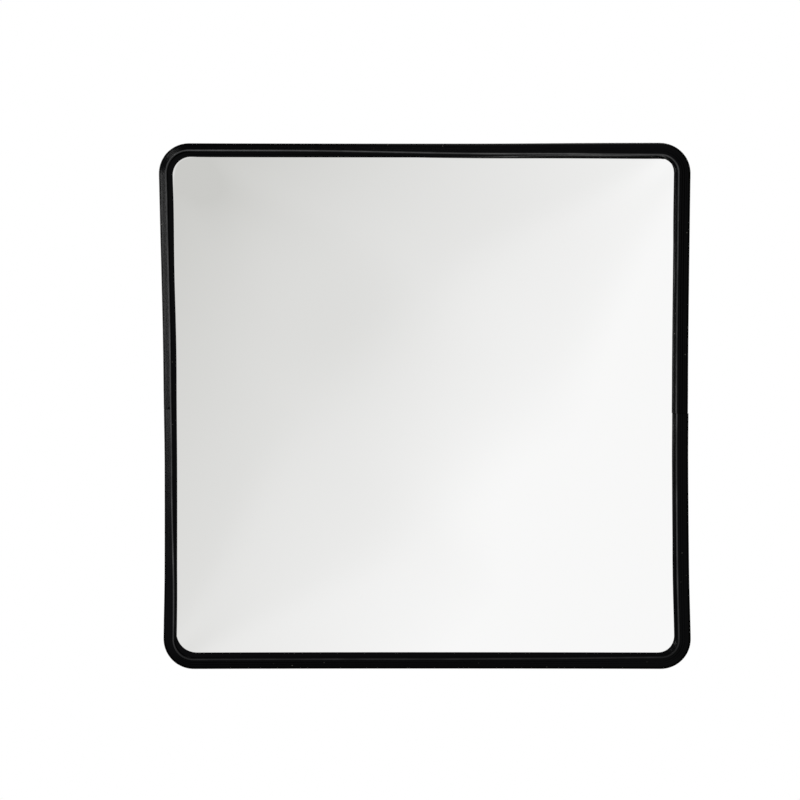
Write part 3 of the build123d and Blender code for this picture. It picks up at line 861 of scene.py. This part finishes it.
    def lip_width(self, path: np.ndarray, outward: np.ndarray) -> np.ndarray:
        """Outer edge to the lip's tip, narrow on the left and top, wide on the right and bottom.

        The opening is a rectangle with round corners, whose signed distance is the length of
        the positive parts of the way past its sides, less the corner's radius. The width is
        how far in the distance comes to nothing, found by halving.

        Args:
            path: the outer edge.
            outward: unit vectors square to it.

        Returns:
            The widths.
        """
        x, y = path[:, 0], path[:, 1]
        right_lip = 12.9 + 1.5 * smooth_step(60, 170, y) + 0.7 * smooth_step(0, -20, y) \
            + 0.7 * smooth_step(-60, -140, y)
        left_lip = 10.75 + 0.65 * smooth_step(-50, 50, y) + 0.7 * smooth_step(100, 180, y)
        top_lip, bottom_lip = 11.7 - 0.9 * smooth_step(0, 110, x), 14.4
        sag_x = self.shape.waist_side * (1 - (y / self.shape.half_height) ** 2)
        sag_y = self.shape.waist_top * (1 - (x / self.shape.half_width) ** 2)
        reach_x, reach_y = self.shape.half_width - sag_x, self.shape.half_height - sag_y
        low = np.stack([left_lip - reach_x, bottom_lip - reach_y], -1)
        high = np.stack([reach_x - right_lip, reach_y - top_lip], -1)
        radius = np.where(x < 0, np.where(y > 0, 16.5, 19.1), np.where(y > 0, 15.7, 15.4))[:, None]
        near, far = np.full(len(path), 5.0), np.full(len(path), 24.0)
        for _ in range(30):
            width = (near + far) / 2
            place = path - width[:, None] * outward
            past = np.abs(place - (low + high) / 2) - (high - low) / 2 + radius
            outside = np.linalg.norm(np.maximum(past, 0), axis=1)
            away = outside + np.minimum(past.max(axis=1), 0) - radius[:, 0]
            near, far = np.where(away > 0, width, near), np.where(away > 0, far, width)
        return (near + far) / 2

    def sway(self, path: np.ndarray, half: Half) -> np.ndarray:
        """How far the edging sits in from its nominal place: the upper length pulls in by the
        right seam."""
        right = smooth_step(150, 215, path[:, 0])
        above = smooth_step(150, 0, path[:, 1]) if half is Half.UPPER else np.zeros(len(path))
        return 0.5 * right * above

    def nick(self, path: np.ndarray, offset: np.ndarray, half: Half) -> np.ndarray:
        """Depth of the knife nick beside each seam, a bell about its place.

        Args:
            path: the outer edge.
            offset: how far in each point of the net is.
            half: which length.

        Returns:
            Depths, one for each point of the net.
        """
        if half is Half.LOWER:
            return np.zeros_like(offset)
        depth = np.zeros_like(offset)
        for side, seam, inset, reach in ((-1, self.seam_left, 5.6, 0.75), (1, self.seam_right, 1.4, 0.9)):
            away = np.hypot(path[:, None, 1] - seam - 0.5, offset - inset)
            on_side = path[:, None, 0] * side >= 0
            depth += self.nick_depth * np.exp(-((away / reach) ** 2)) * on_side
        return depth

    def _round_ends(self, net: np.ndarray, ahead: np.ndarray) -> np.ndarray:
        """Adds a drawn-in row before the first and after the last, to round the cut ends."""
        rows = []
        for end, way in ((net[0], -ahead[0]), (net[-1], ahead[-1])):
            middle = end.mean(axis=0)
            step = np.array([way[0], way[1], 0.0]) * self.seam_round
            rows.append(middle + (end - middle) * 0.95 + step)
        return np.concatenate([rows[:1], net, rows[1:]])

    @staticmethod
    def _close_section(shell: Shell, end: np.ndarray) -> None:
        """Closes an end of the trim between the outer and inner run of its section."""
        half = len(end) // 2
        shell.grid(np.stack([end[:half], end[::-1][:half]]))


# ------------------------------------------------------------------ turned shapes
Rows = tuple[np.ndarray, np.ndarray]


def turns(columns: int) -> np.ndarray:
    """Angles evenly round a circle, the first not repeated."""
    return np.linspace(0, 2 * math.pi, columns + 1)[:-1]


def round_rows(profile: list[tuple[float, float]], columns: int = 48) -> Rows:
    """Rows of a round shape.

    Args:
        profile: radius and height of each row.
        columns: points round each row.

    Returns:
        The radii and the heights, rows by columns.
    """
    stops = np.array(profile, float)
    return np.repeat(stops[:, :1], columns, 1), np.repeat(stops[:, 1:], columns, 1)


def hex_rows(across: float, low: float, high: float, columns: int = 48) -> Rows:
    """Rows of a hexagon with both faces chamfered at 30 degrees.

    The radius is half the distance across flats over the cosine of the angle from the
    nearest flat's middle. A chamfer falls from the face's circle by the way out to the
    hexagon over the root of 3, which leaves the arcs seen on a nut's flats.

    Args:
        across: distance across flats.
        low: height of the lower face.
        high: height of the upper face.
        columns: points round each row, a multiple of 12.

    Returns:
        The radii and the heights, rows by columns.
    """
    angle = turns(columns)
    flats = across / 2 / np.cos((angle + math.pi / 6) % (math.pi / 3) - math.pi / 6)
    face = np.full(columns, 0.475 * across)
    drop = np.maximum(flats - face, 0.02) / math.sqrt(3)
    bottom, top = np.full(columns, low), np.full(columns, high)
    return np.stack([face, flats, flats, face]), np.stack([bottom, low + drop, high - drop, top])


def thread_rows(radius: float, pitch: float, low: float, high: float, columns: int = 48) -> Rows:
    """Rows of a screw thread.

    Along the screw the groove's depth is 0.6134 of the pitch, with flat crests of an eighth
    and straight flanks; the wave runs one pitch ahead for each turn. It fades at both ends.

    Args:
        radius: radius over the crests.
        pitch: distance between crests.
        low: where it starts.
        high: where it ends.
        columns: points round each row.

    Returns:
        The radii and the heights, rows by columns.
    """
    height = np.arange(low, high, pitch / 8)
    phase = (height[:, None] / pitch - turns(columns)[None] / (2 * math.pi)) % 1
    depth = 0.6134 * pitch * np.clip((np.abs(2 * phase - 1) - 0.125) / 0.625, 0, 1)
    fade = smooth_step(low, low + pitch, height) * smooth_step(high, high - pitch, height)
    return radius - depth * fade[:, None], np.repeat(height[:, None], columns, 1)


def ring_rows(bore: float, reach: float, low: float, high: float) -> Rows:
    """Rows of a flat ring with broken edges, closed on themselves."""
    ease = min(0.22, (high - low) / 4)
    stops = [(bore, low + ease), (bore + ease, low), (reach - ease, low), (reach, low + ease),
             (reach, high - ease), (reach - ease, high), (bore + ease, high), (bore, high - ease)]
    return round_rows(stops + stops[:1], 64)


def nut_rows(across: float, bore: float, low: float, high: float, collar: float = 0.0) -> Rows:
    """Rows of a hexagon nut, closed through its bore.

    Args:
        across: distance across flats.
        bore: radius of its hole.
        low: height of one face.
        high: height of the other face.
        collar: how far a round collar stands below the lower face.

    Returns:
        The radii and the heights, rows by columns.
    """
    countersink = 0.12 * bore + 0.2
    inside = round_rows([(bore + countersink, high), (bore, high - countersink)])
    if collar:
        lip, foot = 0.43 * across, low - collar
        skirt = round_rows([(bore, foot + 0.5), (bore + 0.5, foot), (lip - 0.7, foot),
                            (lip - 0.2, foot + 0.25), (lip, foot + 0.8), (lip, low)])
    else:
        skirt = round_rows([(bore, low + countersink), (bore + countersink, low)])
    return join_rows(inside, skirt, hex_rows(across, low, high), (inside[0][:1], inside[1][:1]))


def join_rows(*runs: Rows) -> Rows:
    """Puts runs of rows after one another."""
    return np.concatenate([run[0] for run in runs]), np.concatenate([run[1] for run in runs])


def stand_out(rows: Rows, x: float = 0.0, y: float = 0.0) -> np.ndarray:
    """The net of a shape turned about a line that runs out of the wall.

    Args:
        rows: radii and heights.
        x: the line's place to the right.
        y: the line's place upwards.

    Returns:
        Points, rows by columns by three.
    """
    radius, height = rows
    angle = turns(radius.shape[1])[None]
    return np.stack([x + radius * np.cos(angle), y + radius * np.sin(angle), height], -1)


def stand_up(rows: Rows, z: float) -> np.ndarray:
    """The net of a shape turned about an upright line at distance z out of the wall."""
    radius, height = rows
    angle = turns(radius.shape[1])[None]
    return np.stack([radius * np.cos(angle), height, z + radius * np.sin(angle)], -1)


# ------------------------------------------------------------------ fasteners and welds
@dataclass
class Hardware:
    """The ball stud, the bolts, nuts and screws, and the weld beads."""

    paints: Paintbox
    pivot_z: float = 36.0
    ball_z: float = 182.0
    ball_radius: float = 15.0
    flange_back: float = 201.0
    head_seat: float = 211.2
    cap_back: float = 174.0
    bolt_offset: float = 36.0
    screw_offset: float = 17.9
    tube_radius: float = 12.5
    ear_seat: float = 18.6
    weld_half_length: float = 17.2
    weld_ripple: float = 1.9

    def build(self) -> None:
        """Makes every piece."""
        self.build_ball_stud()
        self.build_lock_nut()
        self.build_panel_fasteners()
        self.build_clamp_screws()
        self.build_pivot()
        self.build_welds()

    def build_ball_stud(self) -> None:
        """Makes the threaded stem with its taper, neck and polished ball."""
        start = math.asin(4.5 / self.ball_radius)
        turn = np.linspace(start, math.pi, 44)
        reach, height = self.ball_radius * np.sin(turn), self.ball_z - self.ball_radius * np.cos(turn)
        neck = [(6.0, 157.8), (5.85, 158.1), (4.5, 161), (4.5, 166.9)]
        rows = join_rows(round_rows([(0, 122), (5.0, 122), (6.0, 123)]),
                         thread_rows(6.0, 1.75, 123.2, 157.6),
                         round_rows(neck + np.stack([reach, height], -1).tolist()))
        self._finish("ball_and_stem", Body.STEM, "ball_steel", "ball_stud", [stand_out(rows)])

    def build_lock_nut(self) -> None:
        """Makes the nut that locks the stem."""
        self._finish("lock_nut_m12", Body.STEM, "zinc", "stem_lock_nut",
                     [stand_out(nut_rows(18.0, 6.02, 148.4, 155.4))])

    def build_panel_fasteners(self) -> None:
        """Makes the four pan-head bolts with their washers and nuts."""
        seat, back = self.head_seat, self.flange_back
        bolt = join_rows(round_rows([(0, back - 9.5), (2.4, back - 9.5), (3.0, back - 8.9)]),
                         thread_rows(3.0, 1.0, back - 8.8, back + 7),
                         round_rows([(3.0, back + 7.1), (3.0, seat), (6.0, seat), (6.0, seat + 1.8),
                                     (5.7, seat + 2.7), (5.0, seat + 3.3), (4.0, seat + 3.6),
                                     (0, seat + 3.6)]))
        washer = ring_rows(3.2, 6.0, back - 1.2, back)
        nut = nut_rows(10.0, 3.02, back - 6.4, back - 1.2)
        for name, node, rows in (("panel_bolts_m6", "panel_bolts", bolt),
                                 ("flange_washers", "panel_washers", washer),
                                 ("flange_nuts_m6", "panel_nuts", nut)):
            nets = [stand_out(rows, x, y) for x, y in self._corners(self.bolt_offset)]
            self._finish(name, Body.HEAD, "zinc", node, nets)

    def build_clamp_screws(self) -> None:
        """Makes the four socket-head screws. The knurl is a cosine round the head, 48 ridges."""
        seat = self.cap_back - 1.2
        top, knurls, columns = seat - 5, 48, 192
        angle = turns(columns)
        socket = 2.0 / np.cos((angle + math.pi / 6) % (math.pi / 3) - math.pi / 6)
        hexagon = (np.stack([socket, socket, socket + 0.14]),
                   np.repeat(np.array([[top + 2.6], [top + 0.14], [top]]), columns, 1))
        band = np.linspace(top + 0.75, seat - 0.35, 6)[:, None]
        ridges = 4.25 - 0.09 * (1 - np.cos(knurls * angle))[None] * np.array([0, 1, 1, 1, 1, 0])[:, None]
        head = join_rows(round_rows([(0, top + 2.9), (0.5, top + 2.85)], columns), hexagon,
                         round_rows([(3.7, top), (4.0, top + 0.1), (4.2, top + 0.35)], columns),
                         (ridges, np.repeat(band, columns, 1)),
                         round_rows([(4.1, seat - 0.08), (4.0, seat), (0, seat)], columns))
        tip = self.ball_z + 12
        shank = join_rows(round_rows([(0, seat), (2.5, seat), (2.5, seat + 3)], 32),
                          thread_rows(2.5, 0.8, seat + 3.1, tip - 0.5, 32),
                          round_rows([(2.4, tip - 0.4), (2.0, tip), (0, tip)], 32))
        places = self._corners(self.screw_offset)
        nets = [stand_out(rows, x, y) for x, y in places for rows in (head, shank)]
        self._finish("clamp_screws_m5", Body.HEAD, "black_oxide", "clamp_screws", nets)

    def build_pivot(self) -> None:
        """Makes the hexagon bolt of the swing pivot with its washers and locking nut."""
        seat = self.ear_seat
        bolt = join_rows(round_rows([(0, -seat - 11), (3.2, -seat - 11), (4.0, -seat - 10.2)]),
                         thread_rows(4.0, 1.25, -seat - 10, -9),
                         round_rows([(4.0, -8.8), (4.0, seat), (6.0, seat), (6.0, seat + 0.3)]),
                         hex_rows(13.0, seat + 0.3, seat + 5.3), round_rows([(0, seat + 5.3)]))
        self._finish("pivot_bolt_m8", Body.BRACKET, "zinc", "pivot_bolt", [stand_up(bolt, self.pivot_z)])
        rings = (ring_rows(4.2, 8.0, low, low + 1.6) for low in (seat - 1.6, -seat))
        washers = [stand_up(rows, self.pivot_z) for rows in rings]
        self._finish("pivot_washers_m8", Body.BRACKET, "zinc", "pivot_washers", washers)
        nut = nut_rows(13.0, 4.02, -seat - 6.5, -seat, 2.0)
        self._finish("locking_nut_m8", Body.BRACKET, "zinc", "pivot_nut", [stand_up(nut, self.pivot_z)])

    def build_welds(self) -> None:
        """Makes the weld beads: two along the yoke's folds and one at each end of the tube.

        A bead's radius swells by a cosine along its length, one ripple every 1.9 mm, which
        leans back across the bead as the pool froze."""
        around, ripple, half = turns(20), self.weld_ripple, self.weld_half_length
        way = np.linspace(-half, half, 190)
        nets = []
        for side in (1, -1):
            swell = 1 + 0.07 * np.cos(2 * math.pi * way[:, None] / ripple + 1.2 * np.sin(around)[None])
            taper = np.sqrt(np.clip(1 - (way / half) ** 14, 0, 1))[:, None]
            size = 1.75 * swell * taper
            nets.append(np.stack([np.repeat(way[:, None], 20, 1), side * (13.3 + size * np.cos(around)),
                                  4.05 + size * np.sin(around)], -1))
        self._weld("yoke_welds", Body.BRACKET, "bracket_paint", nets)
        nets = []
        for height in (60.0, 140.0):
            turn = np.linspace(0, 2 * math.pi, 341)
            waves = round(2 * math.pi * self.tube_radius / ripple)
            swell = 1 + 0.07 * np.cos(waves * turn[:, None] + 1.2 * np.sin(around)[None])
            reach = self.tube_radius - 0.35 + 1.35 * swell * np.cos(around)[None]
            nets.append(np.stack([reach * np.cos(turn)[:, None], reach * np.sin(turn)[:, None],
                                  height + 1.7 * swell * np.sin(around)[None]], -1))
        self._weld("arm_welds", Body.ARM, "arm_paint", nets)

    @staticmethod
    def _corners(offset: float) -> list[tuple[float, float]]:
        """The four places at plus and minus an offset."""
        return [(x, y) for x in (-offset, offset) for y in (-offset, offset)]

    def _finish(self, name: str, body: Body, slot: str, node: str, nets: list[np.ndarray]) -> None:
        """Makes one object from nets and lets it stand in for a node of the frame.

        Args:
            name: the object's name.
            body: the rigid body it moves with.
            slot: the record's material slot.
            node: the node that it replaces.
            nets: the nets, each joined round.
        """
        shell = Shell()
        for net in nets:
            shell.grid(net, wrap=True)
        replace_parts(shell.to_object(name, body, slot, self.paints, 28), node)

    def _weld(self, name: str, body: Body, slot: str, nets: list[np.ndarray]) -> None:
        """Makes one object of weld beads, which belongs to no node of its own."""
        shell = Shell()
        for net in nets:
            shell.grid(net, wrap=True)
        shell.to_object(name, body, slot, self.paints, 60)


# ------------------------------------------------------------------ studio
@dataclass(frozen=True)
class SoftBox:
    """A square area lamp that faces the mirror from the lamps' distance."""

    name: str
    turn: float  # degrees round the mirror from straight in front, to the right
    rise: float  # degrees above the mirror
    size: float  # side, in metres
    watts: float


@dataclass
class Studio:
    """Camera, floor, lamps and the white surroundings."""

    middle: tuple[float, float, float] = (0.0, -0.209, 0.0)
    distance: float = 1.5
    elevation: float = 1.45
    frame_height: float = 0.6848
    shift: tuple[float, float] = (-0.0325, 0.008875)
    floor_z: float = -0.75
    floor_radius: float = 1.2
    lamp_distance: float = 1.8
    slope: tuple[tuple[tuple[int, int], float], ...] = (
        ((0, 0), 0.916), ((0, 1), -0.126), ((1, 0), 0.207), ((0, 2), -0.004), ((1, 1), 0.092),
        ((2, 0), -0.027), ((0, 3), -0.005), ((1, 2), 1.574), ((2, 1), -0.881), ((3, 0), 0.015))
    dimmest: float = 0.655
    brightest: float = 1.033
    belt: float = 0.03
    behind: float = 0.55
    edge_lamps: tuple[SoftBox, ...] = (
        SoftBox("edge_left", -62, 6, 0.5, 22.0), SoftBox("edge_high_left", -55, 40, 0.5, 12.0))
    bracket_lamps: tuple[SoftBox, ...] = (
        SoftBox("bracket_key", 146, 40, 0.9, 26.0), SoftBox("bracket_fill", -125, 12, 1.1, 12.0),
        SoftBox("over_head", 100, 78, 0.9, 10.0))

    def build(self) -> None:
        """Makes the whole studio."""
        self.build_camera()
        self.build_floor()
        self.build_lamps()
        self.build_surroundings()

    def build_camera(self) -> None:
        """Places the camera straight in front of the mirror and a little above it."""
        lens = bpy.data.cameras.new("camera")
        lens.sensor_width = 36.0
        lens.lens = 36.0 * self.distance / self.frame_height
        lens.shift_x, lens.shift_y = self.shift
        lens.clip_start, lens.clip_end = 0.05, 50
        camera = bpy.data.objects.new("camera", lens)
        rise = math.radians(self.elevation)
        x, y, z = self.middle
        camera.location = (x, y - self.distance * math.cos(rise), z + self.distance * math.sin(rise))
        camera.rotation_euler = (math.pi / 2 - rise, 0, 0)
        bpy.context.scene.collection.objects.link(camera)
        bpy.context.scene.camera = camera
        bpy.context.scene.view_settings.view_transform = "Standard"

    def build_floor(self) -> None:
        """Makes a pale round floor that fades out towards its edge."""
        material = bpy.data.materials.new("pale_floor")
        material.use_nodes = True
        tree = material.node_tree
        tree.nodes.clear()
        place = add_node(tree, "ShaderNodeTexCoord")
        length = add_node(tree, "ShaderNodeVectorMath", {"operation": "LENGTH"},
                          {0: place.outputs["Object"]})
        fade = add_node(tree, "ShaderNodeMapRange",
                        {"interpolation_type": "SMOOTHSTEP", "From Min": math.hypot(0.35, self.floor_z),
                         "From Max": math.hypot(self.floor_radius, self.floor_z),
                         "To Min": 0.0, "To Max": 1.0}, {"Value": length.outputs["Value"]})
        paint = add_node(tree, "ShaderNodeBsdfDiffuse", {"Color": grey(0.82)})
        clear = add_node(tree, "ShaderNodeBsdfTransparent")
        mixed = add_node(tree, "ShaderNodeMixShader", links={
            0: fade.outputs["Result"], 1: paint.outputs["BSDF"], 2: clear.outputs["BSDF"]})
        add_node(tree, "ShaderNodeOutputMaterial", links={"Surface": mixed.outputs["Shader"]})
        around = np.linspace(0, 2 * math.pi, 97)[:-1]
        loop = np.stack([np.cos(around), np.sin(around), np.zeros_like(around)], -1) * self.floor_radius
        mesh = bpy.data.meshes.new("floor")
        mesh.from_pydata((loop + (0, 0, self.floor_z)).tolist(), [], [list(range(len(loop)))])
        mesh.materials.append(material)
        floor = bpy.data.objects.new("floor", mesh)
        floor.visible_glossy = False
        bpy.context.scene.collection.objects.link(floor)

    def build_lamps(self) -> None:
        """Hangs the soft boxes. Those in front shine on the edging alone, so that the mirror
        shows no lamp; the others stand behind the mirror and light the bracket."""
        edging = bpy.data.collections.new("edging")
        for half in Half:
            edging.objects.link(bpy.data.objects[f"trim_{half.name.lower()}"])
        for box in self.edge_lamps:
            self._hang(box).light_linking.receiver_collection = edging
        for box in self.bracket_lamps:
            self._hang(box)

    def _hang(self, box: SoftBox) -> bpy.types.Object:
        """Hangs one soft box.

        Args:
            box: its name, place, size and power.

        Returns:
            The lamp.
        """
        light = bpy.data.lights.new(box.name, "AREA")
        light.shape, light.size, light.energy = "SQUARE", box.size, box.watts
        lamp = bpy.data.objects.new(box.name, light)
        across, up = math.radians(box.turn), math.radians(box.rise)
        away = Vector((math.sin(across) * math.cos(up), -math.cos(across) * math.cos(up), math.sin(up)))
        lamp.location = Vector(self.middle) + away * self.lamp_distance
        lamp.rotation_euler = away.to_track_quat("Z", "Y").to_euler()
        bpy.context.scene.collection.objects.link(lamp)
        return lamp

    def build_surroundings(self) -> None:
        """Sets the white surroundings: pure white to look at, and a soft slope of light, dim
        at the upper left and bright at the lower right, for everything they shine on. The
        slope is a cubic of the sideways and upward parts of the direction. It fades to a dim
        belt at the sides and comes back behind the mirror."""
        world = bpy.data.worlds.new("surroundings")
        bpy.context.scene.world = world
        world.use_nodes = True
        tree = world.node_tree
        tree.nodes.clear()
        place = add_node(tree, "ShaderNodeTexCoord")
        axes = add_node(tree, "ShaderNodeSeparateXYZ", links={"Vector": place.outputs["Generated"]})
        slope = self._polynomial(tree, axes.outputs["X"], axes.outputs["Z"], dict(self.slope))
        highlight_strength = add_node(tree, "ShaderNodeClamp", {"Min": self.dimmest, "Max": self.brightest},
                        {"Value": slope})
        level: bpy.types.NodeSocket = highlight_strength.outputs["Result"]
        for start, end, beyond in ((-0.5, -0.42, self.belt), (0.1, 0.4, self.behind)):
            way = add_node(tree, "ShaderNodeMapRange",
                           {"interpolation_type": "SMOOTHSTEP", "From Min": start, "From Max": end},
                           {"Value": axes.outputs["Y"]})
            mix = add_node(tree, "ShaderNodeMix", {3: beyond}, {0: way.outputs["Result"], 2: level})
            level = mix.outputs[0]
        blue = add_node(tree, "ShaderNodeMath", {"operation": "MULTIPLY_ADD", 1: 1.06, 2: -0.056},
                        {0: level})
        colour = add_node(tree, "ShaderNodeCombineColor", links={0: level, 1: level, 2: blue.outputs[0]})
        path = add_node(tree, "ShaderNodeLightPath")
        lit = add_node(tree, "ShaderNodeBackground", links={"Color": colour.outputs["Color"]})
        white = add_node(tree, "ShaderNodeBackground", {"Color": grey(1.0), "Strength": 1.0})
        mixed = add_node(tree, "ShaderNodeMixShader", links={
            0: path.outputs["Is Camera Ray"], 1: lit.outputs["Background"], 2: white.outputs["Background"]})
        add_node(tree, "ShaderNodeOutputWorld", links={"Surface": mixed.outputs["Shader"]})

    @staticmethod
    def _polynomial(
        tree: bpy.types.NodeTree,
        x: bpy.types.NodeSocket,
        z: bpy.types.NodeSocket,
        terms: dict[tuple[int, int], float],
    ) -> bpy.types.NodeSocket:
        """Adds up a coefficient times a power of x times a power of z for each term.

        Args:
            tree: the node tree.
            x: the first variable.
            z: the second variable.
            terms: coefficients by the powers of x and z.

        Returns:
            The socket that carries the sum.
        """
        def combine(operation: str, first: Any, second: Any) -> bpy.types.NodeSocket:
            """One Math node on two values or sockets."""
            given = {0: first, 1: second}
            values = {key: value for key, value in given.items() if isinstance(value, float)}
            sockets = {key: value for key, value in given.items() if key not in values}
            return add_node(tree, "ShaderNodeMath", {"operation": operation, **values}, sockets).outputs[0]

        total: bpy.types.NodeSocket | None = None
        for (x_power, z_power), coefficient in terms.items():
            factors = [x] * x_power + [z] * z_power
            value = combine("ADD", coefficient, 0.0)
            for factor in factors:
                value = combine("MULTIPLY", value, factor)
            total = value if total is None else combine("ADD", total, value)
        return total


# ------------------------------------------------------------------ main
def main() -> None:
    """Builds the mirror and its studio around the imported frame."""
    logging.basicConfig(level=logging.INFO, format="%(name)s: %(message)s")
    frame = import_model()
    paints = Paintbox()
    paints.fill()
    paints.dress_frame(frame)
    MirrorPanel(paints).build()
    Hardware(paints).build()
    Studio().build()
    bpy.context.view_layer.update()


if __name__ == "__main__":
    main()
